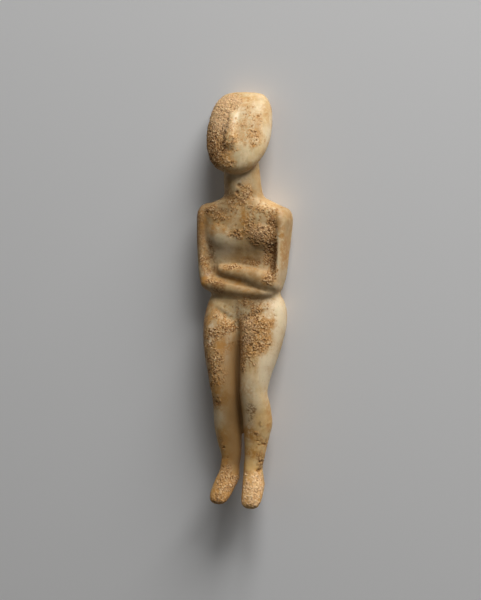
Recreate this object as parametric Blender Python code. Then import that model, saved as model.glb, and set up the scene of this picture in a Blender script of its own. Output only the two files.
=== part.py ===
"""A Cycladic figurine: a standing woman with folded arms, carved from one block of marble.

The feet point down and can't carry it, so it lies on its back: the head is towards +Y,
the face towards +Z and the figure's left side towards +X.
"""

import math

import bmesh
import bpy
from mathutils import Vector

# The figure's height as it is blocked out, from the toes to the crown, in metres. Wear then
# takes about a millimetre off each end.
FIGURE_HEIGHT = 0.250
# The tables below are in millimetres of a figure of this height, and follow FIGURE_HEIGHT.
TABLE_HEIGHT = 250.0
MM = FIGURE_HEIGHT / TABLE_HEIGHT

# Points round each mass, and rings from one row of a table to the next.
TRUNK_SIDES = 40
HEAD_SIDES = 36
LEG_SIDES = 24
ARM_SIDES = 16
RINGS_PER_ROW = 3
# How square the sections are: 2 is an ellipse, and more is squarer.
HEAD_SQUARENESS = 2.0
LEG_SQUARENESS = 2.15
ARM_SQUARENESS = 2.3
FOREARM_SQUARENESS = 2.4
WEB_SQUARENESS = 3.0

# The joined masses are worn together on a grid this fine, and the skin is then thinned.
GRAIN = 0.65
WEAR = 0.5
WEAR_COUNT = 9
FACE_COUNT = 9800

# Neck and trunk. Each row is a height above the toes, the half width, the middle, the back
# and front level above the table, and the squareness.
TRUNK_RIBS = [
    (227.0, 6.0, -2.0, 7.6, 13.0, 2.0),
    (220.0, 9.2, -1.8, 5.2, 16.0, 2.0),
    (208.0, 10.6, -1.4, 4.4, 22.0, 2.0),
    (196.0, 11.4, -0.8, 4.0, 22.2, 2.0),
    (190.0, 11.7, -0.4, 3.0, 22.0, 2.0),
    (187.2, 12.6, -0.2, 2.6, 21.8, 2.0),
    (184.8, 16.8, -0.3, 2.2, 21.6, 2.2),
    (182.4, 22.6, -0.9, 1.4, 21.6, 2.5),
    (179.0, 27.2, -0.7, 0.6, 21.6, 3.4),
    (174.0, 26.4, -0.6, 0.0, 21.9, 3.3),
    (166.0, 23.8, -0.6, -0.5, 21.5, 3.1),
    (159.0, 22.4, -0.4, -0.1, 20.6, 3.0),
    (153.0, 21.8, -0.3, 0.5, 18.8, 2.9),
    (147.0, 21.6, -0.2, 1.4, 18.2, 2.8),
    (137.0, 21.6, 0.4, 2.6, 19.2, 2.5),
    (128.5, 22.0, 0.8, 3.0, 20.2, 2.2),
    (121.0, 21.0, 0.6, 2.2, 20.4, 2.2),
    (115.0, 14.0, 0.2, 2.6, 18.8, 2.2),
    (109.0, 6.0, 0.0, 6.0, 16.0, 2.0),
]

# Head, along its own axis from the crown to the chin. Each row is the distance below the
# crown, half width, and the depth behind and in front of the axis.
HEAD_LENGTH = 51.5
HEAD_CENTRE = (-2.3, 225.5, 15.6)
HEAD_TILT_DEG = 20.0
HEAD_RIBS = [
    (0.0, 8.6, 4.4, -0.4),
    (1.0, 12.0, 6.4, 1.8),
    (4.0, 15.2, 8.8, 4.6),
    (10.0, 18.2, 11.2, 7.6),
    (17.5, 19.6, 12.2, 9.2),
    (25.0, 20.1, 12.0, 9.8),
    (33.0, 19.4, 10.8, 9.7),
    (40.5, 17.0, 8.4, 8.8),
    (46.5, 13.2, 5.8, 7.0),
    (50.0, 8.6, 3.6, 5.0),
    (51.5, 4.2, 2.0, 3.2),
]

# Nose, a long wedge on the face: distance below the crown, middle, half width and standing
# height. It leans a little to the figure's right at the top.
NOSE_RIBS = [
    (15.6, -1.0, 2.6, 0.1),
    (19.0, -0.8, 3.3, 1.6),
    (27.0, -0.5, 3.7, 2.6),
    (33.6, -0.3, 4.2, 3.2),
    (36.8, -0.2, 4.3, 3.0),
    (38.8, -0.2, 3.7, 1.6),
]
NOSE_ROOT = 3.0
# The nose's section above its root, as shares of its half width and its standing height.
NOSE_PROFILE = [(1.0, -0.1), (0.66, 0.82), (0.0, 1.0), (-0.66, 0.82), (-1.0, -0.1)]
NOSE_RINGS_PER_ROW = 2

# Upper arms. Each row is height, inner edge, outer edge, back and front level.
RIGHT_ARM_RIBS = [
    (183.2, -20.0, -23.6, 7.0, 16.0),
    (181.2, -18.6, -27.6, 4.0, 18.2),
    (175.6, -19.5, -29.6, 2.0, 20.4),
    (162.0, -20.6, -29.4, 1.4, 20.8),
    (148.0, -20.3, -28.8, 1.8, 20.4),
    (139.0, -19.2, -27.8, 2.6, 20.8),
    (134.0, -18.2, -26.0, 3.8, 20.6),
    (131.2, -18.0, -23.2, 6.0, 19.0),
]
LEFT_ARM_RIBS = [
    (181.6, 19.3, 23.5, 7.0, 16.0),
    (179.6, 19.1, 27.8, 4.0, 18.2),
    (174.0, 20.6, 29.6, 2.0, 20.6),
    (162.0, 21.7, 27.8, 1.4, 20.8),
    (149.0, 21.1, 26.2, 1.8, 20.4),
    (140.0, 19.9, 25.2, 2.6, 20.8),
    (135.0, 18.3, 24.2, 3.8, 20.6),
    (131.6, 16.7, 21.6, 6.0, 19.0),
]

# Forearms, which lie across the belly, the right one below. Each row is the distance from
# the middle line, lower and upper edge, back and front level.
RIGHT_FOREARM_RIBS = [
    (-26.4, 134.5, 139.5, 9.0, 18.0),
    (-24.6, 131.4, 140.6, 6.0, 21.0),
    (-18.0, 129.2, 140.2, 6.0, 22.5),
    (-9.0, 127.6, 138.2, 6.0, 23.1),
    (0.0, 126.8, 136.0, 6.0, 22.9),
    (9.0, 126.9, 134.0, 6.0, 22.3),
    (16.0, 127.2, 133.0, 6.0, 21.4),
    (20.4, 128.2, 132.2, 8.0, 19.4),
]
LEFT_FOREARM_RIBS = [
    (24.4, 134.0, 138.5, 9.0, 18.0),
    (22.8, 130.8, 141.0, 6.0, 21.2),
    (17.0, 130.8, 143.4, 6.0, 22.2),
    (8.0, 133.8, 145.6, 6.0, 22.5),
    (-3.0, 136.8, 146.8, 6.0, 22.3),
    (-12.0, 138.8, 147.2, 6.0, 21.7),
    (-14.8, 140.0, 146.4, 8.0, 20.4),
]

# Breasts, low and round: distance from the middle line, height and level of the centre.
BREAST_CENTRES = [(-11.4, 166.0, 14.4), (10.8, 166.0, 14.4)]
BREAST_RADII = (13.4, 12.4, 8.0)
BREAST_SEGMENTS = 20
BREAST_RINGS = 12

# Legs. Each row is height, right outer edge, right inner edge, left inner edge, left outer
# edge, back level and front level. The inner edges cross where the legs are still one.
LEG_RIBS = [
    (132.0, -14.0, -6.0, 6.0, 14.6, 9.0, 15.0),
    (129.6, -19.6, -2.0, 2.0, 21.0, 5.0, 17.4),
    (126.0, -22.2, 0.2, -0.2, 24.2, 2.6, 18.8),
    (119.0, -24.5, 0.6, -0.6, 26.2, -0.1, 21.6),
    (111.0, -25.7, -1.8, -1.4, 26.2, -0.9, 23.8),
    (101.0, -25.2, -2.8, -1.0, 24.4, 0.5, 25.2),
    (90.0, -23.2, -3.0, -0.3, 21.6, 4.2, 26.4),
    (79.0, -20.2, -2.8, 0.4, 18.4, 8.8, 26.8),
    (70.5, -18.4, -2.6, 0.4, 16.9, 11.2, 26.2),
    (62.0, -17.6, -2.4, 0.5, 18.0, 8.4, 24.7),
    (52.0, -18.2, -2.0, 0.7, 18.4, 5.4, 22.8),
    (43.5, -17.2, -1.2, 1.1, 16.6, 6.6, 21.4),
    (37.0, -15.6, -1.1, 1.5, 15.2, 8.2, 20.6),
    (30.0, -13.2, -1.3, 1.6, 13.8, 9.4, 20.2),
]
# Feet, which go on from the legs. Each row is the middle and the half width, and the
# sole's and the instep's height and level.
FOOT_RIBS = [
    (7.4, 5.8, 24.0, 9.4, 25.0, 20.6),
    (7.7, 6.0, 18.0, 8.6, 21.6, 21.8),
    (8.2, 6.4, 13.4, 8.8, 19.4, 23.2),
    (8.8, 6.6, 10.6, 12.0, 17.4, 24.4),
    (9.4, 6.6, 7.6, 16.6, 14.2, 26.0),
    (9.9, 6.5, 4.8, 21.0, 10.8, 27.8),
    (10.2, 5.9, 2.6, 24.6, 7.4, 29.4),
    (10.3, 4.6, 1.2, 27.2, 4.6, 30.2),
    (10.3, 2.4, 1.3, 28.6, 3.0, 30.0),
]
# Both feet stand a little to the right, and the right one is the shorter.
FOOT_SHIFT = -0.5
RIGHT_FOOT_RISE = 1.4

# Web that joins the legs from the crotch to the calves: height, half width, back and front.
WEB_RIBS = [
    (122.0, 3.0, 5.0, 18.0),
    (108.0, 4.4, 5.0, 16.2),
    (92.0, 4.6, 8.0, 15.4),
    (76.0, 4.4, 12.4, 16.8),
    (62.0, 4.0, 10.4, 15.4),
    (51.0, 3.4, 9.0, 13.8),
    (44.4, 2.4, 10.0, 12.8),
]

# Cut lines. Each point is the distance from the middle line, the height and the level of the
# line's floor. A line widens away from its floor, by its slope, up to its reach. The lines of
# the belly are cut from the front, and the spine is cut from the back.
LINE_FLOOR = 0.5
PUBIC_SLOPE = 0.75
PUBIC_REACH = 6.0
RIGHT_PUBIC_LINE = [(-18.6, 123.0, 19.8), (-13.0, 119.2, 19.6), (-7.2, 115.4, 19.5), (-1.2, 112.8, 18.0)]
LEFT_PUBIC_LINE = [(20.6, 122.4, 19.8), (14.0, 118.6, 19.6), (6.4, 115.2, 19.5), (-1.5, 112.8, 18.0)]
MIDDLE_SLOPE = 0.3
MIDDLE_REACH = 9.0
MIDDLE_LINE = [(-1.5, 125.2, 19.8), (-1.5, 119.0, 19.0), (-1.4, 112.0, 17.4), (-1.3, 108.0, 17.0)]
SPINE_SLOPE = 0.6
SPINE_REACH = -6.0
SPINE_LINE = [(-0.6, 178.0, 1.5), (-0.5, 166.0, 1.0), (-0.3, 153.0, 1.9), (0.0, 140.0, 3.6), (0.0, 131.0, 4.4)]

SHARP_DEG = 40.0


def remove_old_objects():
    """Empties the scene that the script starts in."""
    for old in list(bpy.data.objects):
        bpy.data.objects.remove(old)


def marble():
    """Old white marble, warm with age."""
    material = bpy.data.materials.new("marble")
    material.use_nodes = True
    shader = material.node_tree.nodes["Principled BSDF"]
    shader.inputs["Base Color"].default_value = (0.62, 0.50, 0.34, 1.0)
    shader.inputs["Roughness"].default_value = 0.55
    shader.inputs["Metallic"].default_value = 0.0
    return material


def between(rows, rings_per_row):
    """Rows between the rows of a table, on smooth curves that never pass a table's value."""
    columns = list(zip(*rows))
    slopes = []
    for column in columns:
        steps = [b - a for a, b in zip(column, column[1:])]
        inner = [2 * a * b / (a + b) if a * b > 0 else 0.0 for a, b in zip(steps, steps[1:])]
        slopes.append([steps[0], *inner, steps[-1]])
    made = []
    for index in range(len(rows) - 1):
        for ring in range(rings_per_row):
            t = ring / rings_per_row
            made.append(
                tuple(
                    hermite(column[index], column[index + 1], slope[index], slope[index + 1], t)
                    for column, slope in zip(columns, slopes)
                )
            )
    return [*made, rows[-1]]


def hermite(start, end, start_slope, end_slope, t):
    """The cubic from start to end with these slopes, at t from 0 to 1."""
    return (
        start * (2 * t**3 - 3 * t**2 + 1)
        + end * (3 * t**2 - 2 * t**3)
        + start_slope * (t**3 - 2 * t**2 + t)
        + end_slope * (t**3 - t**2)
    )


def at(x, height, level):
    """A point by its distance from the middle line, height above the toes and level."""
    return Vector((x, height - TABLE_HEIGHT / 2, level)) * MM


def ring_of(back, front, half_width, squareness, sides):
    """A closed ring from a back point to a front point, this wide, as a superellipse."""
    middle = (back + front) / 2
    deep = (front - back) / 2
    points = []
    for side in range(sides):
        angle = 2 * math.pi * side / sides
        across = math.copysign(abs(math.cos(angle)) ** (2 / squareness), math.cos(angle))
        along = math.copysign(abs(math.sin(angle)) ** (2 / squareness), math.sin(angle))
        points.append(middle + half_width * across + deep * along)
    return points


def new_object(name, body):
    """An object in the scene with the body's mesh."""
    mesh = bpy.data.meshes.new(name)
    body.to_mesh(mesh)
    body.free()
    made = bpy.data.objects.new(name, mesh)
    bpy.context.scene.collection.objects.link(made)
    return made


def loft(name, rings):
    """A closed body through these rings, with a flat cap at each end."""
    body = bmesh.new()
    loops = [[body.verts.new(point) for point in ring] for ring in rings]
    for lower, upper in zip(loops, loops[1:]):
        count = len(lower)
        for side in range(count):
            after = (side + 1) % count
            body.faces.new((lower[side], lower[after], upper[after], upper[side]))
    body.faces.new(loops[0])
    body.faces.new(loops[-1])
    bmesh.ops.recalc_face_normals(body, faces=body.faces)
    return new_object(name, body)


def trunk_rings():
    rings = []
    for height, half, middle, back, front, squareness in between(TRUNK_RIBS, RINGS_PER_ROW):
        rings.append(
            ring_of(
                at(middle, height, back),
                at(middle, height, front),
                Vector((half, 0, 0)) * MM,
                squareness,
                TRUNK_SIDES,
            )
        )
    return rings


def on_head(x, below_crown, forward):
    """A point of the head by its distance below the crown and in front of the head's axis."""
    up = HEAD_LENGTH / 2 - below_crown
    tilt = math.radians(HEAD_TILT_DEG)
    centre_x, centre_height, centre_level = HEAD_CENTRE
    height = centre_height + up * math.cos(tilt) + forward * math.sin(tilt)
    level = centre_level - up * math.sin(tilt) + forward * math.cos(tilt)
    return at(centre_x + x, height, level)


def head_rings():
    rings = []
    for below, half, behind, before in between(HEAD_RIBS, RINGS_PER_ROW):
        rings.append(
            ring_of(
                on_head(0, below, -behind),
                on_head(0, below, before),
                Vector((half, 0, 0)) * MM,
                HEAD_SQUARENESS,
                HEAD_SIDES,
            )
        )
    return rings


def face_depth(below_crown):
    """How far the face stands in front of the head's axis at this distance below the crown."""
    for upper, lower in zip(HEAD_RIBS, HEAD_RIBS[1:]):
        if upper[0] <= below_crown <= lower[0]:
            share = (below_crown - upper[0]) / (lower[0] - upper[0])
            return upper[3] + share * (lower[3] - upper[3])
    return HEAD_RIBS[-1][3]


def nose_rings():
    """The nose's sections: a round ridge over a foot that is sunk in the face."""
    rings = []
    for below, middle, half, stand in between(NOSE_RIBS, NOSE_RINGS_PER_ROW):
        face = face_depth(below)
        foot = [on_head(middle + side * half, below, face - NOSE_ROOT) for side in (-1, 1)]
        ridge = [
            on_head(middle + across * half, below, face + up * stand) for across, up in NOSE_PROFILE
        ]
        rings.append([*foot, *ridge])
    return rings


def arm_rings(ribs):
    """Sections of an upper arm, from the shoulder to the elbow."""
    rings = []
    for height, inner, outer, back, front in between(ribs, RINGS_PER_ROW):
        middle = (inner + outer) / 2
        rings.append(
            ring_of(
                at(middle, height, back),
                at(middle, height, front),
                Vector((abs(outer - inner) / 2, 0, 0)) * MM,
                ARM_SQUARENESS,
                ARM_SIDES,
            )
        )
    return rings


def forearm_rings(ribs):
    """Sections of a forearm, from the elbow to the hand."""
    rings = []
    for x, low, high, back, front in between(ribs, RINGS_PER_ROW):
        middle = (low + high) / 2
        rings.append(
            ring_of(
                at(x, middle, back),
                at(x, middle, front),
                Vector((0, (high - low) / 2, 0)) * MM,
                FOREARM_SQUARENESS,
                ARM_SIDES,
            )
        )
    return rings


def leg_rings(side):
    """The rings of one leg and its foot: side is -1 for the right leg and 1 for the left."""
    rows = []
    for height, right_out, right_in, left_in, left_out, back, front in LEG_RIBS:
        inner, outer = (right_in, right_out) if side < 0 else (left_in, left_out)
        rows.append(((inner + outer) / 2, abs(outer - inner) / 2, height, back, height, front))
    rise = RIGHT_FOOT_RISE if side < 0 else 0.0
    for middle, half, sole_height, sole, instep_height, instep in FOOT_RIBS:
        rows.append((side * middle + FOOT_SHIFT, half, sole_height + rise, sole, instep_height + rise, instep))
    rings = []
    for middle, half, back_height, back, front_height, front in between(rows, RINGS_PER_ROW):
        rings.append(
            ring_of(
                at(middle, back_height, back),
                at(middle, front_height, front),
                Vector((half, 0, 0)) * MM,
                LEG_SQUARENESS,
                LEG_SIDES,
            )
        )
    return rings


def web_rings():
    rings = []
    for height, half, back, front in between(WEB_RIBS, RINGS_PER_ROW):
        rings.append(
            ring_of(
                at(0, height, back),
                at(0, height, front),
                Vector((half, 0, 0)) * MM,
                WEB_SQUARENESS,
                ARM_SIDES,
            )
        )
    return rings


def breast(name, centre):
    """A low ellipsoid on the chest."""
    body = bmesh.new()
    bmesh.ops.create_uvsphere(body, u_segments=BREAST_SEGMENTS, v_segments=BREAST_RINGS, radius=1.0)
    for vertex in body.verts:
        vertex.co = at(*centre) + Vector(radius * MM * part for radius, part in zip(BREAST_RADII, vertex.co))
    return new_object(name, body)


def line_rings(line, slope, reach):
    """Sections of a cutter along a line: narrow at the floor of the cut and wide at its mouth."""
    rings = []
    mouth = LINE_FLOOR + slope * abs(reach)
    for index, (x, height, level) in enumerate(line):
        before = line[max(index - 1, 0)]
        after = line[min(index + 1, len(line) - 1)]
        along = Vector((after[0] - before[0], after[1] - before[1], 0)).normalized()
        across = Vector((-along.y, along.x, 0)) * MM
        floor = at(x, height, level)
        outside = at(x, height, level + reach)
        rings.append(
            [
                floor - across * LINE_FLOOR,
                floor + across * LINE_FLOOR,
                outside + across * mouth,
                outside - across * mouth,
            ]
        )
    return rings


def table_block(skin):
    """A block under the whole figure. What reaches below its top is worn flat."""
    body = bmesh.new()
    size = 2 * max(skin.dimensions)
    bmesh.ops.create_cube(body, size=size)
    bmesh.ops.translate(body, verts=body.verts, vec=(0, 0, -size / 2))
    return new_object("table_block", body)


def boolean(target, other, operation):
    """Joins a helper to the target, or cuts it away.

    All the helpers are closed, and many of them cross at once, which the exact solver turns
    into nothing at some sizes. The manifold solver joins them at every size.
    """
    other.hide_render = True
    other.display_type = "WIRE"
    modifier = target.modifiers.new(other.name, "BOOLEAN")
    modifier.operation = operation
    modifier.solver = "MANIFOLD"
    modifier.object = other


def all_masses():
    """What is joined to the trunk."""
    return [
        loft("head_mass", head_rings()),
        loft("nose_mass", nose_rings()),
        loft("right_leg_mass", leg_rings(-1)),
        loft("left_leg_mass", leg_rings(1)),
        loft("web_mass", web_rings()),
        loft("right_arm_mass", arm_rings(RIGHT_ARM_RIBS)),
        loft("left_arm_mass", arm_rings(LEFT_ARM_RIBS)),
        loft("right_forearm_mass", forearm_rings(RIGHT_FOREARM_RIBS)),
        loft("left_forearm_mass", forearm_rings(LEFT_FOREARM_RIBS)),
        *(breast("breast_mass", centre) for centre in BREAST_CENTRES),
    ]


def all_lines():
    """What is cut into the figure."""
    return [
        loft("right_pubic_line", line_rings(RIGHT_PUBIC_LINE, PUBIC_SLOPE, PUBIC_REACH)),
        loft("left_pubic_line", line_rings(LEFT_PUBIC_LINE, PUBIC_SLOPE, PUBIC_REACH)),
        loft("middle_line", line_rings(MIDDLE_LINE, MIDDLE_SLOPE, MIDDLE_REACH)),
        loft("spine_line", line_rings(SPINE_LINE, SPINE_SLOPE, SPINE_REACH)),
    ]


def wear(rough):
    """Runs the joined masses into one skin, worn smooth."""
    grid = rough.modifiers.new("one_skin", "REMESH")
    grid.mode = "VOXEL"
    grid.voxel_size = GRAIN * MM
    grid.adaptivity = 0.0
    worn = rough.modifiers.new("worn", "SMOOTH")
    worn.factor = WEAR
    worn.iterations = WEAR_COUNT


def finished_mesh(rough):
    """The mesh that an object's modifiers make."""
    graph = bpy.context.evaluated_depsgraph_get()
    return bpy.data.meshes.new_from_object(rough.evaluated_get(graph))


def centre_on_table(mesh):
    """Moves a mesh so that the middle of its box is over the origin."""
    for axis in (0, 1):
        values = [vertex.co[axis] for vertex in mesh.vertices]
        middle = (min(values) + max(values)) / 2
        for vertex in mesh.vertices:
            vertex.co[axis] -= middle


def thin(skin):
    """Leaves no more faces than the form needs."""
    triangles = sum(len(face.vertices) - 2 for face in skin.data.polygons)
    thinned = skin.modifiers.new("thinned", "DECIMATE")
    thinned.ratio = FACE_COUNT / triangles
    thinned.use_collapse_triangulate = True


def main():
    remove_old_objects()
    rough = loft("rough_block", trunk_rings())
    masses = all_masses()
    lines = all_lines()
    for mass in masses:
        boolean(rough, mass, "UNION")
    for line in lines:
        boolean(rough, line, "DIFFERENCE")
    wear(rough)

    skin = finished_mesh(rough)
    for helper in [rough, *masses, *lines]:
        bpy.data.objects.remove(helper)
    centre_on_table(skin)
    figurine = bpy.data.objects.new("figurine", skin)
    skin.materials.clear()
    skin.materials.append(marble())
    bpy.context.scene.collection.objects.link(figurine)
    thin(figurine)
    boolean(figurine, table_block(figurine), "DIFFERENCE")
    skin.shade_smooth()
    skin.set_sharp_from_angle(angle=math.radians(SHARP_DEG))


main()
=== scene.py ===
# %% [markdown]
# # An ancient marble figurine
#
# The real object is a slender standing woman with folded arms, carved from one piece of
# marble and buried for thousands of years. The carved form is loaded as a fixed frame. What
# this lesson adds is its surface: worn stone, rough crust, pits and stains.
#
# The frame is in metres. The head is towards +Y, the face towards +Z and the figure's own
# left side towards +X. It rests on its back on the plane z = 0.

# %% Load the carved form
import math

import bpy
import numpy as np
from mathutils import Matrix, Vector, noise


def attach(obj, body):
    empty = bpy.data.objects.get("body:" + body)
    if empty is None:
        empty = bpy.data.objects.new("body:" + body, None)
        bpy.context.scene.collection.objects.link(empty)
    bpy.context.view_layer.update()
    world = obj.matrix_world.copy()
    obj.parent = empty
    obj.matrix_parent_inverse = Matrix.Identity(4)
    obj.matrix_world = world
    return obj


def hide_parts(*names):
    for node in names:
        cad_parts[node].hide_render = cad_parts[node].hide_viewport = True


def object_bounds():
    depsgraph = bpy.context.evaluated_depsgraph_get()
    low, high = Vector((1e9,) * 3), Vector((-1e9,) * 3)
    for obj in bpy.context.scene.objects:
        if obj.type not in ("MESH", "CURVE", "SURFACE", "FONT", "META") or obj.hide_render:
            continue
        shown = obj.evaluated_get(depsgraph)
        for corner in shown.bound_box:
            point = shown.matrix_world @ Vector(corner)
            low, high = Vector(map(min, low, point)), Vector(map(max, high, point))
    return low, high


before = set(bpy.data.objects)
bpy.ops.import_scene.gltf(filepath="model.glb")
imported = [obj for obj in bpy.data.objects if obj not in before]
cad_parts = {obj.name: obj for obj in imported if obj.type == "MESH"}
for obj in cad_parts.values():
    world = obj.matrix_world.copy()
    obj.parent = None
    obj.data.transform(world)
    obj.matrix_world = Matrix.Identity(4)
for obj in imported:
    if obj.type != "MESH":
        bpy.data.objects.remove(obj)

MM = 0.001
carved_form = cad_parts["figurine"]
form_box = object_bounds()
print("The carved form's box, in mm:", [[round(v / MM, 1) for v in corner] for corner in form_box])

# %% [markdown]
# ## The camera
#
# The feet point down and can't carry the figurine, so it lies on its back, and the camera
# looks down on it as one would look at it standing. A camera can be turned by Euler angles,
# but it is easier to say where it is: a direction from the object, a distance and a point to
# aim at. Three axes at right angles then make its matrix.

# %% Camera
CAMERA_TURN = math.radians(21)
CAMERA_LIFT = math.radians(5)
CAMERA_DISTANCE = 1.1
FIELD_HEIGHT = 0.361
AIM = Vector((-2.4, -0.4, 12.0)) * MM
SENSOR = 36.0

to_camera = Vector(
    (
        math.sin(CAMERA_TURN) * math.cos(CAMERA_LIFT),
        math.sin(CAMERA_LIFT),
        math.cos(CAMERA_TURN) * math.cos(CAMERA_LIFT),
    )
)
picture_right = Vector((0, 1, 0)).cross(to_camera).normalized()
picture_up = to_camera.cross(picture_right)
lens = bpy.data.cameras.new("camera")
lens.sensor_width = SENSOR
lens.lens = SENSOR * CAMERA_DISTANCE / FIELD_HEIGHT
camera = bpy.data.objects.new("camera", lens)
turned = Matrix((picture_right, picture_up, to_camera)).transposed().to_4x4()
camera.matrix_world = Matrix.Translation(AIM + to_camera * CAMERA_DISTANCE) @ turned
bpy.context.scene.collection.objects.link(camera)
bpy.context.scene.camera = camera
print("The lens is", round(lens.lens), "mm long.")

# %% [markdown]
# ## Floor and light
#
# A studio has a plain pale sweep and large soft lamps. A plane is enough for the floor. The
# main lamp stands past the head, low over the floor on the figure's left. Its light grazes the
# body from the forehead to the toes, so each grain and each carved line shows, and the chin,
# the breasts and the forearms put what is below them in shade. A weak lamp on the other side
# and a grey sky keep that shade from going black.

# %% Floor
FLOOR_SIZE = 8.0
FLOOR_GREY = (0.72, 0.72, 0.72, 1.0)
PAPER_ROUGHNESS = 0.9


def plain_material(name, colour, roughness):
    material = bpy.data.materials.new(name)
    material.use_nodes = True
    shader = material.node_tree.nodes["Principled BSDF"]
    shader.inputs["Base Color"].default_value = colour
    shader.inputs["Roughness"].default_value = roughness
    return material


bpy.ops.object.select_all(action="DESELECT")
bpy.ops.mesh.primitive_plane_add(size=FLOOR_SIZE, location=(0, 0, 0))
floor = bpy.context.object
floor.name = "studio_floor"
floor.data.materials.append(plain_material("pale_paper", FLOOR_GREY, PAPER_ROUGHNESS))
print("The floor is", FLOOR_SIZE, "m square.")

# %% Lamps
SKY_GREY = (0.5, 0.485, 0.46, 1.0)
SKY_STRENGTH = 0.14


def softbox(name, direction, distance, size, power):
    """A square area lamp that faces the figurine from this direction."""
    lamp = bpy.data.lights.new(name, "AREA")
    lamp.size = size
    lamp.energy = power
    stand = bpy.data.objects.new(name, lamp)
    stand.location = Vector(direction).normalized() * distance
    stand.rotation_euler = (-stand.location).to_track_quat("-Z", "Y").to_euler()
    bpy.context.scene.collection.objects.link(stand)
    return stand


softbox("main_softbox", direction=(0.42, 0.80, 0.37), distance=2.2, size=1.4, power=64.0)
softbox("side_softbox", direction=(-0.60, 0.20, 0.77), distance=1.6, size=1.0, power=0.6)
sky = bpy.data.worlds.new("studio_sky")
sky.use_nodes = True
sky.node_tree.nodes["Background"].inputs["Color"].default_value = SKY_GREY
sky.node_tree.nodes["Background"].inputs["Strength"].default_value = SKY_STRENGTH
bpy.context.scene.world = sky
bpy.context.scene.view_settings.view_transform = "Standard"

# %% [markdown]
# ## A skin fine enough for crust
#
# The frame's mesh has about ten thousand triangles, each some 2 mm wide, and the grains of
# the crust are half of that. A voxel remesh wraps the form in small squares of one size, so
# that every place can carry fine relief. The frame itself is never changed: its mesh is
# copied, the copy's loose triangles are merged, and the copy is remeshed and smoothed until
# the old facets are gone.

# %% Copy and remesh
MERGE_DISTANCE = 0.002 * MM
SKIN_GRID = 0.36 * MM
SMOOTHING_ROUNDS = 22


def select_only(piece):
    bpy.ops.object.select_all(action="DESELECT")
    piece.select_set(True)
    bpy.context.view_layer.objects.active = piece


def apply_modifier(piece, kind, **settings):
    """Adds a modifier with these settings and applies it at once."""
    modifier = piece.modifiers.new(kind.lower(), kind)
    for setting, value in settings.items():
        setattr(modifier, setting, value)
    select_only(piece)
    bpy.ops.object.modifier_apply(modifier=modifier.name)


figurine = bpy.data.objects.new("marble_figurine", carved_form.data.copy())
bpy.context.scene.collection.objects.link(figurine)
select_only(figurine)
bpy.ops.object.mode_set(mode="EDIT")
bpy.ops.mesh.select_all(action="SELECT")
bpy.ops.mesh.remove_doubles(threshold=MERGE_DISTANCE)
bpy.ops.object.mode_set(mode="OBJECT")
apply_modifier(figurine, "REMESH", mode="VOXEL", voxel_size=SKIN_GRID, adaptivity=0.0)
apply_modifier(figurine, "SMOOTH", factor=0.5, iterations=SMOOTHING_ROUNDS)
print("The skin has", len(figurine.data.vertices), "points.")

# %% [markdown]
# ## Reading the skin as arrays
#
# Blender hands a mesh's numbers over in one go with foreach_get. As numpy arrays, a rule can
# then be written once for all points. Places are in millimetres of the figurine: x from the
# middle line, y from the middle of its height, z above the table.

# %% Points and normals
def points_of(piece):
    flat = np.zeros(len(piece.data.vertices) * 3)
    piece.data.vertices.foreach_get("co", flat)
    return flat.reshape(-1, 3) / MM


def normals_of(piece):
    flat = np.zeros(len(piece.data.vertices) * 3)
    piece.data.vertex_normals.foreach_get("vector", flat)
    return flat.reshape(-1, 3)


def smooth_step(low, high, value):
    """Runs from 0 at low to 1 at high, with soft ends."""
    share = np.clip((value - low) / (high - low), 0.0, 1.0)
    return share * share * (3.0 - 2.0 * share)


places = points_of(figurine)
normals = normals_of(figurine)
print("The skin spans", np.round(places.min(0), 1), "to", np.round(places.max(0), 1), "mm.")

# %% [markdown]
# ## Noise at a real size
#
# Nothing on old stone is even. Fractal noise gives blots of a chosen size in millimetres,
# and Voronoi noise gives rounded grains: its first distance is 0 at a grain's heart and grows
# towards its edge.

# %% Noise helpers
GRAIN_SPREAD = 1.25


def blots(size, octaves=3, shift=0.0):
    """Fractal noise at every point, about -1 to 1, with blots about this many mm wide."""
    return np.array([noise.fractal(Vector(p), 1.0, 2.0, octaves) for p in places / size + shift])


def grains(size, shift=0.0):
    """Rounded grains about this many mm wide: 1 at a grain's heart and 0 at its edge."""
    nearest = np.array([noise.voronoi(Vector(p))[0][0] for p in places / size + shift])
    return np.clip(1.0 - GRAIN_SPREAD * nearest, 0.0, 1.0)


# Each kind is shifted, so that no two kinds read the same part of the noise.
wide_blots = blots(6.0)
middle_blots = blots(2.4, shift=40.0)
small_blots = blots(1.0, shift=80.0)
print("The wide blots spread by", round(float(wide_blots.std()), 2))

# %% [markdown]
# ## Where the crust lies
#
# Burial leaves a rough lime crust in some places and clean marble in others. Painting a mask
# by hand would work. Here each patch is an ellipse on the body: its middle, its half width
# and half height in mm, its lean in degrees and how dense it is. The front has crust on the
# own-right half of the face, on the chest, along the left arm, on the thighs and on the feet.

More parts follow.
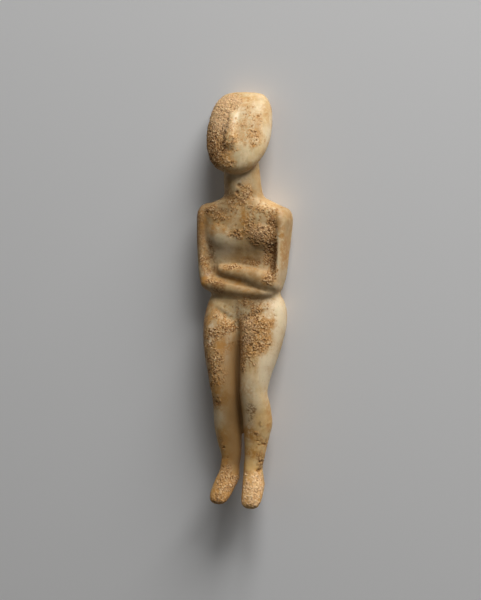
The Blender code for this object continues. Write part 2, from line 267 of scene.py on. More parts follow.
# %% Crust on the front
# Each row: x, y, half width, half height, lean in degrees, density.
FRONT_CRUST = [
    (-14.0, 104.0, 10.5, 17.0, 8, 1.15),
    (-7.5, 116.5, 9.0, 6.5, -10, 1.0),
    (-12.0, 89.0, 8.6, 12.0, -20, 1.05),
    (-5.0, 81.0, 6.0, 4.4, 0, 0.66),
    (-2.5, 97.0, 4.4, 5.5, 0, 0.7),
    (-4.8, 104.0, 2.6, 9.0, 4, 0.66),
    (-4.6, 113.4, 3.4, 4.0, 0, 0.66),
    (-1.5, 89.6, 5.0, 2.4, 0, 0.5),
    (8.6, 99.0, 5.0, 4.0, 0, 0.5),
    (6.4, 107.6, 5.0, 5.0, 0, 0.42),
    (10.6, 92.6, 2.0, 1.4, 0, 0.66),
    (4.5, 67.0, 4.0, 4.0, 0, 0.56),
    (2.0, 62.5, 4.4, 4.0, 0, 0.52),
    (-1.0, 58.0, 7.0, 4.0, 0, 0.5),
    (-19.0, 54.4, 7.0, 3.2, 24, 0.62),
    (-13.0, 50.6, 9.0, 3.0, -16, 0.66),
    (9.0, 55.0, 7.0, 3.6, 0, 0.52),
    (18.0, 53.6, 7.0, 3.6, -12, 0.56),
    (7.0, 43.4, 4.4, 6.6, 0, 0.8),
    (13.6, 40.4, 5.4, 6.0, -20, 0.86),
    (20.4, 45.0, 3.4, 7.0, 0, 0.9),
    (20.6, 34.0, 3.6, 11.0, 0, 1.1),
    (17.4, 27.0, 4.0, 10.0, 0, 0.72),
    (20.6, 19.0, 3.4, 9.0, 0, 0.95),
    (17.6, 12.4, 3.4, 3.0, -20, 0.8),
    (0.5, 39.8, 6.6, 3.0, 0, 0.72),
    (8.0, 34.4, 5.0, 2.4, 0, 0.6),
    (-10.5, 48.0, 4.0, 2.4, 0, 0.5),
    (-5.0, 20.4, 8.0, 1.9, 0, 0.66),
    (8.6, 22.4, 7.0, 1.6, 0, 0.66),
    (-23.0, 24.0, 2.6, 12.0, 0, 0.5),
    (-17.5, 11.4, 6.0, 2.0, 0, 0.66),
    (6.0, -1.6, 6.6, 3.0, -10, 0.66),
    (13.5, -4.0, 6.4, 3.0, 20, 0.76),
    (8.6, -6.8, 5.6, 2.0, 24, 0.7),
    (9.8, -15.0, 10.0, 7.6, 0, 1.15),
    (8.0, -24.6, 8.6, 8.4, 0, 1.15),
    (14.6, -25.0, 5.6, 7.0, 0, 0.8),
    (3.6, -35.0, 3.6, 7.0, 0, 0.95),
    (10.6, -35.0, 4.4, 6.0, 0, 0.5),
    (-12.0, -12.0, 7.6, 4.4, -30, 0.62),
    (-6.4, -15.6, 4.6, 4.4, 0, 0.95),
    (-13.4, -20.0, 8.6, 5.0, 10, 0.8),
    (-18.0, -28.0, 4.4, 6.0, 0, 0.46),
    (-13.6, -33.6, 7.0, 6.0, 0, 0.74),
    (-12.4, -43.0, 6.0, 8.0, 0, 0.7),
    (-15.6, -50.0, 4.4, 7.0, 0, 0.54),
    (-14.5, -61.0, 4.4, 5.0, 0, 0.5),
    (11.4, -79.2, 2.2, 1.6, 0, 0.6),
    (15.0, -85.0, 1.4, 3.6, 20, 0.4),
    (12.4, -93.0, 1.8, 2.6, 0, 0.4),
    (13.0, -97.0, 1.4, 2.0, 0, 0.45),
    (-12.2, -86.0, 3.0, 4.0, 0, 0.44),
    (-8.0, -103.6, 5.0, 3.4, 0, 0.7),
    (-7.0, -110.0, 6.0, 5.6, 0, 0.9),
    (-9.5, -118.0, 6.6, 4.4, 0, 0.74),
    (8.4, -105.6, 6.0, 3.0, 0, 0.7),
    (10.4, -112.0, 7.6, 7.0, 0, 0.84),
    (10.0, -119.0, 7.0, 4.0, 0, 0.72),
]
print("Patches of crust on the front:", len(FRONT_CRUST))

# %% [markdown]
# The back isn't known, so it has only a few quiet patches.

# %% Crust on the back
BACK_CRUST = [
    (6.0, 108.0, 11.0, 9.0, 20, 0.72),
    (-12.0, 92.0, 6.0, 9.0, 0, 0.5),
    (-2.0, 64.0, 6.0, 6.0, 0, 0.5),
    (-15.0, 40.0, 9.0, 12.0, 10, 0.72),
    (12.0, 22.0, 7.0, 9.0, -10, 0.6),
    (14.0, -22.0, 9.0, 12.0, 0, 0.66),
    (-12.0, -38.0, 8.0, 9.0, 10, 0.6),
    (10.0, -70.0, 6.0, 10.0, 0, 0.55),
    (-8.0, -92.0, 5.0, 8.0, 0, 0.55),
    (0.0, -114.0, 20.0, 10.0, 0, 0.72),
]
print("Patches of crust on the back:", len(BACK_CRUST))

# %% [markdown]
# ## From patches to ragged crust
#
# A patch fades softly towards its border. Three sizes of blots are added to that fading
# density, and what stands above a level is crust. So the borders are ragged and small islands
# lie outside them. A lower level gives a wider zone, where the marble near the crust is
# stained by it.

# %% From patches to ragged crust
EDGE_SOFTNESS = 0.55
CRUST_LEVEL = 0.54
CRUST_BORDER = (-0.08, 0.28)
STAINED_BORDER = (-0.60, 0.25)


def patch(x, y, half_width, half_height, lean, density):
    """A patch's density at every point, fading to 0 at its border."""
    angle = math.radians(lean)
    east = (places[:, 0] - x) * math.cos(angle) + (places[:, 1] - y) * math.sin(angle)
    north = (places[:, 1] - y) * math.cos(angle) - (places[:, 0] - x) * math.sin(angle)
    reach = np.hypot(east / half_width, north / half_height)
    return density * smooth_step(1.0 + EDGE_SOFTNESS, 1.0 - EDGE_SOFTNESS, reach)


def patches(rows):
    return np.maximum.reduce([patch(*row) for row in rows])


facing_up = smooth_step(-0.45, 0.1, normals[:, 2])
crust_density = np.maximum(
    patches(FRONT_CRUST) * facing_up,
    patches(BACK_CRUST) * (1.0 - facing_up),
)
ragged = (
    crust_density - CRUST_LEVEL + 0.34 * wide_blots + 0.44 * middle_blots + 0.46 * small_blots
)
crust = smooth_step(*CRUST_BORDER, ragged) * smooth_step(0.05, 0.3, crust_density)
crust_near = smooth_step(*STAINED_BORDER, ragged) * smooth_step(0.0, 0.4, crust_density)
print("Crust covers", round(100 * float(crust.mean())), "percent of the skin.")

# %% [markdown]
# ## Hollows of the carving
#
# Dirt stays where cloth and hands don't reach: between arm and chest, under the forearms and
# between the legs, and the same mask also darkens these places as painted shade, since shade falls
# there too. A point lies in a hollow if the average of its neighbourhood is in front of it.
# Averaging along the edges many times gives that neighbourhood.

# %% Hollows
HOLLOW_ROUNDS = 60


def averaged(values, rounds):
    """Spreads values along the edges of the skin, this many times."""
    edges = np.zeros(len(figurine.data.edges) * 2, dtype=np.int64)
    figurine.data.edges.foreach_get("vertices", edges)
    first, second = edges.reshape(-1, 2).T
    count = len(values)
    neighbours = np.bincount(first, minlength=count) + np.bincount(second, minlength=count)
    for _ in range(rounds):
        gathered = [
            np.bincount(first, column[second], count) + np.bincount(second, column[first], count)
            for column in values.T
        ]
        values = 0.5 * values + 0.5 * (np.array(gathered) / neighbours).T
    return values


depth_of_hollow = ((averaged(places, HOLLOW_ROUNDS) - places) * normals).sum(1)
hollow_dirt_and_shade = smooth_step(0.04, 0.40, depth_of_hollow)
edge_wear = smooth_step(0.05, 0.4, -depth_of_hollow)
print("Hollows run to", round(float(depth_of_hollow.max()), 2), "mm.")

# %% [markdown]
# ## Rubbed places
#
# Hands, cloth and washing have softened the forearms, the belly, the grooves beside the arms and
# the nose, where the frame still has a crisp edge. Averaged over many rounds, the skin takes the
# smooth form that such rubbing leads to, and here it is moved most of the way to it. A rubbed
# hollow also keeps less dirt and less painted shade.

# %% Rubbed places
# Each row: x, y, half width, half height, lean in degrees, density.
RUBBED = [
    (2.0, 10.0, 24.0, 14.0, 0, 1.0),
    (0.0, -9.0, 22.0, 8.0, 0, 1.0),
    (20.8, 32.0, 2.6, 20.0, 0, 1.2),
    (-19.6, 30.0, 3.0, 18.0, 0, 1.2),
    (-7.2, 102.0, 2.8, 12.0, 4, 1.1),
    (-4.2, 93.0, 6.0, 4.0, 0, 1.0),
]
RUBBING_ROUNDS = 240
RUBBED_SHARE = 0.7
LOST_DIRT_AND_SHADE = 0.8

rubbed = np.clip(patches(RUBBED), 0.0, 1.0) * facing_up
rubbing = RUBBED_SHARE * rubbed[:, None] * (averaged(places, RUBBING_ROUNDS) - places)
places = places + rubbing
hollow_dirt_and_shade = hollow_dirt_and_shade * (1.0 - LOST_DIRT_AND_SHADE * rubbed)
print("Rubbing moved the skin up to", round(float(np.abs(rubbing).max()), 2), "mm.")

# %% [markdown]
# ## Carved lines
#
# The maker parted the forearms, the belly and the toes with narrow lines. The frame has their
# broad form. A line's narrow floor is cut here, where the grid is fine enough: a line is a
# chain of points, and the distance to the nearest stretch of the chain gives how deep a point
# lies.

# %% Carved lines
# Each row: the line's points, its half width and its depth, in mm.
CARVED_LINES = [
    (
        [(-18.1, 12.9), (-12.0, 11.6), (-5.7, 10.5), (1.7, 9.2), (9.1, 8.2), (16.2, 6.3)],
        0.7,
        0.26,
    ),
    (
        [(-20.1, 0.9), (-10.2, 0.6), (-0.8, 0.6), (8.0, 0.6), (15.1, 1.0), (19.0, 2.2)],
        0.8,
        0.14,
    ),
    ([(-16.8, 21.5), (-6.9, 22.5), (2.8, 21.8), (13.3, 19.3)], 0.8, 0.12),
]
TOE_LINES = [7.8, 10.2, 12.6, 14.8, -11.8, -9.3, -7.0]
TOE_TOP = -116.0
TOE_END = -123.0
TOE_DRIFT = 0.5
TOE_HALF_WIDTH = 0.5
TOE_DEPTH = 0.20


def near_line(points, half_width):
    """1 on a line and fading to 0 beside it, seen from the front."""
    nearest = np.full(len(places), np.inf)
    for start, end in zip(np.array(points), np.array(points[1:])):
        along = end - start
        share = np.clip((places[:, :2] - start) @ along / (along @ along), 0.0, 1.0)
        away = places[:, :2] - start - share[:, None] * along
        nearest = np.minimum(nearest, np.hypot(*away.T))
    return np.exp(-((nearest / half_width) ** 2)) * facing_up


carved = np.zeros(len(places))
for points, half_width, depth in CARVED_LINES:
    carved = np.maximum(carved, depth * near_line(points, half_width))
for x in TOE_LINES:
    toe_line = near_line([(x, TOE_TOP), (x + TOE_DRIFT, TOE_END)], TOE_HALF_WIDTH)
    carved = np.maximum(carved, TOE_DEPTH * toe_line)
# Carved lines get the dirt and painted shade of a hollow too.
hollow_dirt_and_shade = np.maximum(hollow_dirt_and_shade, smooth_step(0.08, 0.45, carved))
print("The lines are cut up to", round(float(carved.max()), 2), "mm deep.")

# %% [markdown]
# ## Grain of the crust
#
# Close to, the crust is a heap of rounded grains with thin ridges winding over them and holes
# between. A ridge follows the places where a noise crosses zero, a hole is where another
# noise is high, and clumps make some of it stand higher than the rest.

# %% Grain of the crust
GRAIN_SIZE = 1.0
FINE_GRAIN_SIZE = 0.6
RIDGE_SPACING = 1.7
HOLE_SPACING = 1.3
LOW_CLUMP = 0.35

grain = grains(GRAIN_SIZE)
fine_grain = grains(FINE_GRAIN_SIZE, shift=20.0)
ridge = 1.0 - smooth_step(0.02, 0.26, np.abs(blots(RIDGE_SPACING, 2, shift=240.0)))
clump = LOW_CLUMP + (1.0 - LOW_CLUMP) * smooth_step(-0.5, 0.6, middle_blots)
hole = smooth_step(0.26, 0.5, blots(HOLE_SPACING, 2, shift=120.0)) * crust
print("Holes take", round(100 * float(hole.sum() / crust.sum())), "percent of the crust.")

# %% [markdown]
# ## Pits in the bare marble
#
# Acid soil ate small pits into the marble, close together in some parts. They come from noise
# as well, within patches of their own. A few large pits are easy to see in the real piece, so
# each of these has its own place, radius and depth.

# %% Pits
PIT_SPACING = 1.7
RAGGED_PIT = 0.45
# Each row: x, y, half width, half height, lean in degrees, density.
PITTED = [
    (6.0, 109.0, 9.0, 9.0, 0, 0.8),
    (8.0, 99.0, 8.0, 9.0, 0, 1.0),
    (4.0, 64.0, 8.0, 8.0, 0, 0.7),
    (16.0, 54.0, 10.0, 6.0, 0, 1.0),
    (3.0, 47.0, 9.0, 10.0, 0, 0.6),
    (-12.0, 50.0, 12.0, 7.0, 0, 0.6),
    (6.0, 22.0, 16.0, 5.0, 0, 0.7),
    (0.0, -10.0, 24.0, 18.0, 0, 0.6),
    (-13.0, -62.0, 5.0, 5.0, 0, 0.9),
    (13.0, -90.0, 4.0, 14.0, 0, 0.6),
    (-8.0, -100.0, 7.0, 5.0, 0, 0.8),
]
# Each row: x, y, radius and depth of a pit that stands out, in mm.
DEEP_PITS = [
    (11.9, -102.2, 1.1, 0.8),
    (10.6, 92.6, 0.9, 0.45),
    (12.3, 95.4, 0.6, 0.4),
    (9.0, 100.6, 0.7, 0.35),
    (4.4, 110.4, 0.5, 0.3),
    (11.4, 109.6, 0.6, 0.3),
    (0.4, 68.8, 1.2, 0.5),
    (-0.8, 64.4, 1.2, 0.5),
    (14.8, -86.4, 0.6, 0.35),
    (12.6, -97.0, 0.8, 0.4),
    (10.8, -80.2, 0.6, 0.3),
    (-10.2, -89.2, 0.8, 0.4),
    (-13.0, -61.4, 0.9, 0.35),
]

pit_noise = blots(PIT_SPACING, 2, shift=60.0)
pitted = smooth_step(0.25, 0.75, patches(PITTED) * facing_up + 0.5 * wide_blots)
pit = smooth_step(0.44, 0.62, pit_noise) * pitted
pit_rim = smooth_step(0.15, 0.55, pit_noise) * pitted
deep_pit = np.zeros(len(places))
for x, y, radius, depth in DEEP_PITS:
    away = np.hypot(places[:, 0] - x, places[:, 1] - y) + RAGGED_PIT * small_blots
    here = np.exp(-((away / radius) ** 2)) * facing_up
    deep_pit = np.maximum(deep_pit, depth * here)
    pit = np.maximum(pit, smooth_step(0.25, 0.7, here))
    pit_rim = np.maximum(pit_rim, smooth_step(0.02, 0.5, here))
print("Pits take", round(100 * float(pit.mean()), 1), "percent of the skin.")

# %% [markdown]
# ## Relief
#
# Now the skin is moved along its normals. The crust is a low raised layer, thicker where it
# is dense, the pits and the carved lines go in, and the whole figure keeps the slight waves
# of a surface that was rubbed down by hand.

# %% Move the skin
CRUST_LAYER = 0.08
GRAIN_HEIGHT = 0.22
RIDGE_HEIGHT = 0.26
FINE_GRAIN_HEIGHT = 0.10
HOLE_DEPTH = 0.34
PIT_DEPTH = 0.20
LINE_FILL = 0.5
WAVE_HEIGHT = 0.10
WAVE_LENGTH = 14.0

thickness = 0.5 + 0.35 * smooth_step(0.5, 0.95, crust_density)
heap = CRUST_LAYER + (GRAIN_HEIGHT * grain + RIDGE_HEIGHT * ridge) * clump
relief = (
    crust * thickness * heap
    + crust * FINE_GRAIN_HEIGHT * fine_grain
    - HOLE_DEPTH * hole
    - PIT_DEPTH * pit * (1.0 - crust)
    - deep_pit
    - carved * (1.0 - LINE_FILL * crust)
    + WAVE_HEIGHT * blots(WAVE_LENGTH, 2, shift=200.0)
)


def set_places(new_places):
    """Moves the skin's points to these places, never outside the carved form's box."""
    inside = np.clip(new_places * MM, form_box[0], form_box[1])
    figurine.data.vertices.foreach_set("co", inside.ravel())
    figurine.data.update()


set_places(places + normals * relief[:, None])
lowest, highest = round(float(relief.min()), 2), round(float(relief.max()), 2)
print("The relief runs from", lowest, "to", highest, "mm.")

# %% [markdown]
# ## Ochre and brown stains, and painted shade at the nose
#
# Iron in the soil left ochre and brown blots that have no thickness. They are colour only, so they
# are worked out as numbers on the points, for the material to read. The patches are written as
# those of the crust are. Two rows of the brown table are painted shade, not stains: one beside the
# nose on its own-right side and one under it.

# %% Ochre stains
OCHRE_STAINS = [
    (3.0, 119.6, 7.0, 1.6, 0, 0.6),
    (5.0, 111.0, 7.0, 6.0, 0, 0.45),
    (13.0, 106.0, 3.4, 11.0, 0, 0.62),
    (7.0, 97.0, 7.0, 5.0, 0, 0.45),
    (-4.0, 84.0, 8.0, 5.0, 0, 0.8),
    (5.0, 79.0, 8.0, 3.0, 0, 0.3),
    (3.4, 47.0, 3.0, 9.0, 0, 1.0),
    (-15.0, 42.0, 4.0, 3.0, 0, 0.8),
    (26.0, 39.4, 1.4, 1.6, 0, 2.0),
    (26.8, 30.0, 1.6, 20.0, 0, 0.8),
    (25.0, 48.0, 4.0, 8.0, 0, 0.6),
    (-8.0, 46.0, 16.0, 5.0, 0, 0.5),
    (-22.7, 11.6, 3.2, 3.0, 0, 1.2),
    (-4.0, 11.0, 9.0, 2.6, -8, 0.7),
    (-20.0, -10.0, 6.0, 10.0, 0, 0.7),
    (-9.2, -28.5, 4.5, 6.0, 0, 1.1),
    (-12.5, -52.0, 5.0, 6.0, 0, 0.9),
    (18.6, -16.0, 3.4, 11.0, 0, 1.1),
    (13.0, -29.0, 7.0, 3.6, 0, 1.0),
    (6.0, -52.0, 6.0, 5.0, 0, 0.6),
    (7.0, -79.0, 5.0, 4.4, 0, 1.2),
    (7.4, -90.6, 4.6, 3.4, 0, 0.9),
    (-10.0, -84.0, 5.0, 6.0, 0, 1.0),
    (-10.0, -96.0, 6.0, 5.0, 0, 0.8),
    (17.4, -66.0, 1.6, 14.0, 0, 0.5),
    (-8.0, -58.0, 5.0, 6.0, 0, 0.8),
    (0.0, -114.0, 22.0, 12.0, 0, 0.9),
]
ochre = np.clip(patches(OCHRE_STAINS) * facing_up + 0.5 * wide_blots - 0.1, 0.0, 1.0)
print("Ochre blots:", len(OCHRE_STAINS))

# %% Brown stains and painted nose shade
BROWN_STAINS_AND_NOSE_SHADE = [
    (-1.5, -6.0, 1.4, 8.0, 0, 0.8),
    (20.6, 31.0, 2.2, 18.0, 0, 0.9),
    (-19.6, 24.0, 3.0, 14.0, 0, 0.9),
    (-9.0, 61.0, 8.0, 6.0, 20, 0.8),
    (-13.0, 7.6, 4.2, 3.6, 0, 1.7),
    # Painted shade: the nose's shadow beside it.
    (-8.6, 103.0, 2.4, 11.0, 6, 0.2),
    (8.0, 23.4, 9.0, 2.4, 0, 1.0),
    (-26.5, 40.0, 4.0, 16.0, 0, 0.8),
    (-21.0, 22.0, 4.0, 10.0, 0, 0.8),
    (-14.0, 53.0, 12.0, 4.0, 0, 0.7),
    (-11.0, 94.0, 5.0, 14.0, 0, 0.6),
    # Painted shade: the nose's shadow under it.
    (-4.6, 92.0, 5.0, 3.0, 0, 0.4),
    (-15.0, 84.0, 5.0, 6.0, 0, 0.8),
    (8.0, -1.0, 8.0, 4.0, 0, 0.8),
    (-23.6, -14.0, 3.6, 12.0, 0, 0.9),
    (-19.0, -36.0, 3.4, 12.0, 0, 0.8),
    (9.0, -64.6, 3.0, 3.4, 0, 1.6),
    (8.4, -70.0, 2.0, 3.0, 0, 0.8),
    (-14.0, -61.6, 3.6, 3.6, 0, 0.9),
    (-12.2, -84.6, 2.4, 2.6, 0, 1.0),
    (-10.4, -89.4, 1.0, 1.2, 0, 1.0),
    (14.6, -73.4, 1.6, 2.0, 0, 0.8),
    (15.0, -85.0, 1.6, 4.4, 20, 1.0),
    (12.4, -93.4, 2.0, 3.4, 0, 0.9),
    (12.8, -98.0, 1.8, 2.6, 0, 1.0),
    (-10.0, -100.6, 4.0, 3.0, 0, 0.9),
    (5.6, -103.6, 3.6, 2.4, 0, 0.6),
]
# The brown table holds stains and two rows of painted nose shade.
brown_spots_and_nose_shade = patches(BROWN_STAINS_AND_NOSE_SHADE) * facing_up
brown_and_nose_shade = np.clip(brown_spots_and_nose_shade + 0.6 * middle_blots - 0.1, 0.0, 1.0)
brown_and_nose_shade *= smooth_step(0.05, 0.3, brown_spots_and_nose_shade)
print("Brown blots:", len(BROWN_STAINS_AND_NOSE_SHADE))

# %% [markdown]
# ## Patina, clean marble, painted highlights and pale crust
#
# Under the stains the figure isn't one colour either. A brown patina lies over the forearms, the
# own-right arm, the right thigh and the right foot, and it darkens the crust that lies on it. The
# left hip and the left thigh are nearly clean. The rim of the head, the ridge of the nose and the
# crest of the right thigh get the same clean cream as a painted highlight. The crust is paler and
# pinker on the forehead, at the left groin and on the left foot. Each is a table of patches again,
# so a part is changed by changing one row.

# %% Patina
PATINA = [
    (2.0, 11.0, 25.0, 12.0, 0, 1.0),
    (9.0, 64.0, 6.0, 9.0, 0, 0.7),
    (-8.0, 66.0, 6.0, 11.0, 0, 0.9),
    (-24.0, 46.0, 8.0, 20.0, 0, 0.9),
    (26.0, 50.0, 6.0, 8.0, 0, 0.6),
    (-16.0, -36.0, 11.0, 26.0, 0, 0.9),
    (2.0, 28.0, 14.0, 7.0, 0, 0.9),
    (-8.0, -112.0, 9.0, 14.0, 0, 0.9),
    (-5.0, -84.0, 8.0, 24.0, 0, 0.5),
    (-13.0, 86.0, 8.0, 9.0, 0, 1.0),
    (-18.0, 99.0, 5.0, 10.0, 0, 0.8),
    (-10.0, 95.0, 3.0, 8.0, 0, 0.7),
    (12.0, 39.0, 10.0, 9.0, 0, 0.8),
    (20.0, 28.0, 4.0, 20.0, 0, 0.8),
    (-15.0, 52.0, 12.0, 6.0, 0, 0.6),
]
patina_parts = patches(PATINA)
patina = np.clip(patina_parts * facing_up + 0.3 * wide_blots * patina_parts, 0.0, 1.0)
print("Parts with patina:", len(PATINA))

# %% Clean marble, painted highlights and pale crust
CLEAN_MARBLE_AND_HIGHLIGHTS = [
    (22.0, -12.0, 7.0, 15.0, 0, 0.9),
    (19.0, -40.0, 5.0, 20.0, 0, 0.9),
    # Painted highlight: the bright rim of the head.
    (19.6, 104.0, 3.6, 22.0, 0, 1.0),
    (4.0, 114.0, 9.0, 4.0, 0, 0.5),
    # Painted highlight on the ridge of the nose.
    (-0.8, 109.0, 0.9, 5.4, -12, 1.0),
    (24.6, 30.0, 2.6, 20.0, 0, 0.4),
    (9.0, -56.0, 7.0, 9.0, 0, 0.7),
    (-13.0, -70.0, 5.0, 6.0, 0, 0.6),
    # Painted highlight along the crest of the right thigh, beside the cleft.
    (-6.3, -27.0, 1.3, 8.0, -4, 1.0),
    (-16.6, -17.0, 3.4, 3.4, 0, 1.0),
    (-17.2, -23.6, 2.6, 3.4, 0, 1.0),
    (-12.0, 34.0, 9.0, 8.0, 0, 0.7),
    (6.0, -74.0, 4.0, 8.0, 0, 0.6),
]
PALE_CRUST = [
    (-9.0, 112.0, 14.0, 13.0, 0, 1.0),
    (13.0, 42.0, 6.0, 4.0, 0, 0.4),
    (5.0, -18.0, 6.0, 9.0, 0, 0.6),
    (10.0, -113.0, 9.0, 12.0, 0, 1.3),
    (-8.0, -111.0, 7.0, 8.0, 0, 0.25),
]
# This mask holds clean marble and the painted highlights.
clean_and_highlights = np.clip(patches(CLEAN_MARBLE_AND_HIGHLIGHTS) * facing_up, 0.0, 1.0)
pale_crust = np.clip(patches(PALE_CRUST) * facing_up + 0.2 * wide_blots, 0.0, 1.0)
print("Clean parts:", len(CLEAN_MARBLE_AND_HIGHLIGHTS), "and pale parts of the crust:", len(PALE_CRUST))

# %% [markdown]
# ## Broad tints and the painted shade between the legs
#
# The lower legs, the sides and the figure's own right half turn more honey and brown. Between the
# legs a painted shade stands for the shadow of the left leg on the slope of the right leg. It is
# deepest at the left leg and fades over the slope of the right leg, so it needs a formula of its
# own: one soft step on each side, and one at each end.

# %% Broad tints and painted shade
lower_legs = 1.0 - smooth_step(-95.0, -25.0, places[:, 1] + 8.0 * wide_blots)
own_right = 1.0 - smooth_step(-28.0, 2.0, places[:, 0] + 6.0 * wide_blots)
sides = 1.0 - smooth_step(0.1, 0.75, normals[:, 2])
east, north = places[:, 0] + 0.25 * middle_blots, places[:, 1]
across = smooth_step(-13.0, -3.6, east) * (1.0 - smooth_step(-1.6, -0.6, east))
along = smooth_step(-112.0, -98.0, north) * (1.0 - smooth_step(-28.0, -14.0, north))
painted_cleft_shade = across * along * facing_up
# The printed number is the strength of the painted shade between the legs.
print("The dirt between the legs reaches", round(float(painted_cleft_shade.max()), 2), "at its deepest.")

# %% [markdown]
# ## Numbers for the material
#
# An attribute keeps one number for each point under a name. The material can read it by that
# name, and it stays on the mesh when the mesh is thinned.

# %% Keep the numbers on the points
def store(name, values):
    """Keeps one number for each point of the skin, under this name."""
    attribute = figurine.data.attributes.new(name, "FLOAT", "POINT")
    attribute.data.foreach_set("value", values.astype(np.float32))


top = crust * ((0.5 * grain + 0.6 * ridge) * clump + 0.25 * fine_grain) - 0.8 * hole
kept_numbers = {
    "crust": crust,
    "crust_near": crust_near,
    "crust_top": np.clip(top + 0.3, 0.0, 1.3),
    "pits": pit * (1.0 - crust),
    "pit_rims": pit_rim * (1.0 - crust),
    "pitted": pitted,
    "hollow_dirt_and_shade": hollow_dirt_and_shade,
    "edge_wear": edge_wear,
    "ochre": ochre,
    "brown_and_nose_shade": brown_and_nose_shade,
    "patina": patina,
    "clean_and_highlights": clean_and_highlights,
    "pale_crust": pale_crust,
    "lower_legs": lower_legs,
    "own_right": own_right,
    "sides": sides,
    "painted_cleft_shade": painted_cleft_shade,
}
for name, values in kept_numbers.items():
    store(name, values)
print("Kept:", list(kept_numbers))

# %% [markdown]
# ## Thinning
#
# The even grid has far more points than the smooth marble needs. Decimate takes away the points
# that change the form least, so the crust keeps its grains, and the numbers stored on the points
# are carried over. But a stain has no form, and neither has a painted highlight or painted shade,
# and Decimate would blur their edges on smooth marble. So every third point at the edge of a stain
# or of painted light goes into a vertex group that Decimate leaves alone.

# %% Points at the edges of stains and painted light
LEAST_CHANGE = 0.025
KEPT_EACH = 3
EDGE_ROUNDS = 4

stains_and_painted_light = np.array([ochre, brown_and_nose_shade, patina, clean_and_highlights, pit_rim * (1.0 - crust)]).T
change = np.abs(averaged(stains_and_painted_light, EDGE_ROUNDS) - stains_and_painted_light).max(1)
kept = np.flatnonzero(change > LEAST_CHANGE)[::KEPT_EACH]
edges_of_stains_and_painted_light = figurine.vertex_groups.new(name="edges_of_stains_and_painted_light")
edges_of_stains_and_painted_light.add(kept.tolist(), 1.0, "REPLACE")
print("Points that stay:", len(kept))

# %% Thin the skin
TRIANGLE_LIMIT = 190000

triangles = 2 * len(figurine.data.polygons)
apply_modifier(
    figurine,
    "DECIMATE",
    ratio=TRIANGLE_LIMIT / triangles,
    use_collapse_triangulate=True,
    vertex_group="edges_of_stains_and_painted_light",
    invert_vertex_group=True,
    vertex_group_factor=1.0,
)
figurine.vertex_groups.remove(figurine.vertex_groups["edges_of_stains_and_painted_light"])
select_only(figurine)
bpy.ops.object.shade_smooth()
set_places(points_of(figurine))
print("The skin now has", len(figurine.data.polygons), "triangles.")

# %% [markdown]
# ## Shader sums in Python
#
# A material's nodes do sums on whole surfaces. Wired by hand they soon become a tangle, so
# this small class wraps a node's output. Python's own signs then add Math nodes, and one
# method adds any other node.

# %% A wire that adds up
class Wire:
    """An output socket of a material's nodes."""

    def __init__(self, tree, socket=None):
        self.tree = tree
        self.socket = socket

    def node(self, kind, settings, sockets, output=0):
        """Adds a node: first its settings, then the values or wires of its sockets."""
        made = self.tree.nodes.new(kind)
        for name, value in settings.items():
            setattr(made, name, value)
        for name, value in sockets.items():
            if isinstance(value, Wire):
                self.tree.links.new(value.socket, made.inputs[name])
            else:
                made.inputs[name].default_value = value
        return Wire(self.tree, made.outputs[output])

    def sum_node(self, operation, first, second):
        return self.node("ShaderNodeMath", {"operation": operation}, {0: first, 1: second})

    def __add__(self, other):
        return self.sum_node("ADD", self, other)

    def __radd__(self, other):
        return self.sum_node("ADD", other, self)

    def __sub__(self, other):
        return self.sum_node("SUBTRACT", self, other)

    def __rsub__(self, other):
        return self.sum_node("SUBTRACT", other, self)

    def __mul__(self, other):
        return self.sum_node("MULTIPLY", self, other)

    def __rmul__(self, other):
        return self.sum_node("MULTIPLY", other, self)

    def step(self, low, high):
        """Runs from 0 at low to 1 at high, with soft ends."""
        limits = {"Value": self, "From Min": low, "From Max": high}
        return self.node("ShaderNodeMapRange", {"interpolation_type": "SMOOTHSTEP"}, limits)

    def colours(self, base, other):
        """Mixes two colours: the base at 0 and the other at 1."""
        settings = {"data_type": "RGBA"}
        return self.node("ShaderNodeMix", settings, {0: self, 6: base, 7: other}, output=2)


print("Made the class", Wire.__name__)

# %% [markdown]
# ## The finish, in the order of its history
#
# Island marble is white when it is cut and turns a warm greenish cream in the ground. The finish
# is built as it came about: bare stone with soft clouds, then the stains, then the film and the
# specks that the crust leaves on the marble near it, then the crust itself, and last the dirt in
# the hollows. Painted highlights go in with the clean parts, painted shade at the nose with the
# brown stains, and more painted shade with the dirt in the hollows and between the legs. Each step
# mixes one more colour over what is there, by a mask.
# The masks are the numbers kept on the points, broken up by clouds of noise.

# %% Start the material
marble = bpy.data.materials.new("burial_worn_marble")
marble.use_nodes = True
shader = marble.node_tree.nodes["Principled BSDF"]
start = Wire(marble.node_tree)
where = start.node("ShaderNodeTexCoord", {}, {}, output="Object")


def mask(name):
    """The number that the skin's points keep under this name."""
    return start.node("ShaderNodeAttribute", {"attribute_name": name}, {}, output="Fac")


def clouds(size, detail=3.0, roughness=0.55, place=where):
    """Noise from 0 to 1, with clouds about this many mm wide."""
    sockets = {
        "Vector": place,
        "Scale": 1.0 / (size * MM),
        "Detail": detail,
        "Roughness": roughness,
    }
    return start.node("ShaderNodeTexNoise", {}, sockets)


print("Started", marble.name)

# %% [markdown]
# The bare stone has wide clouds of two creams, with faint streaks that run up and down, as
# marble is layered. Streaks are noise whose place is squeezed along Y. Edges are worn pale.

# %% Bare stone
WARM_CREAM = (0.76, 0.58, 0.34, 1.0)
GREENISH_CREAM = (0.62, 0.49, 0.28, 1.0)
WORN_PALE = (0.84, 0.69, 0.46, 1.0)
STREAK_SQUEEZE = (1.0, 0.12, 1.0)

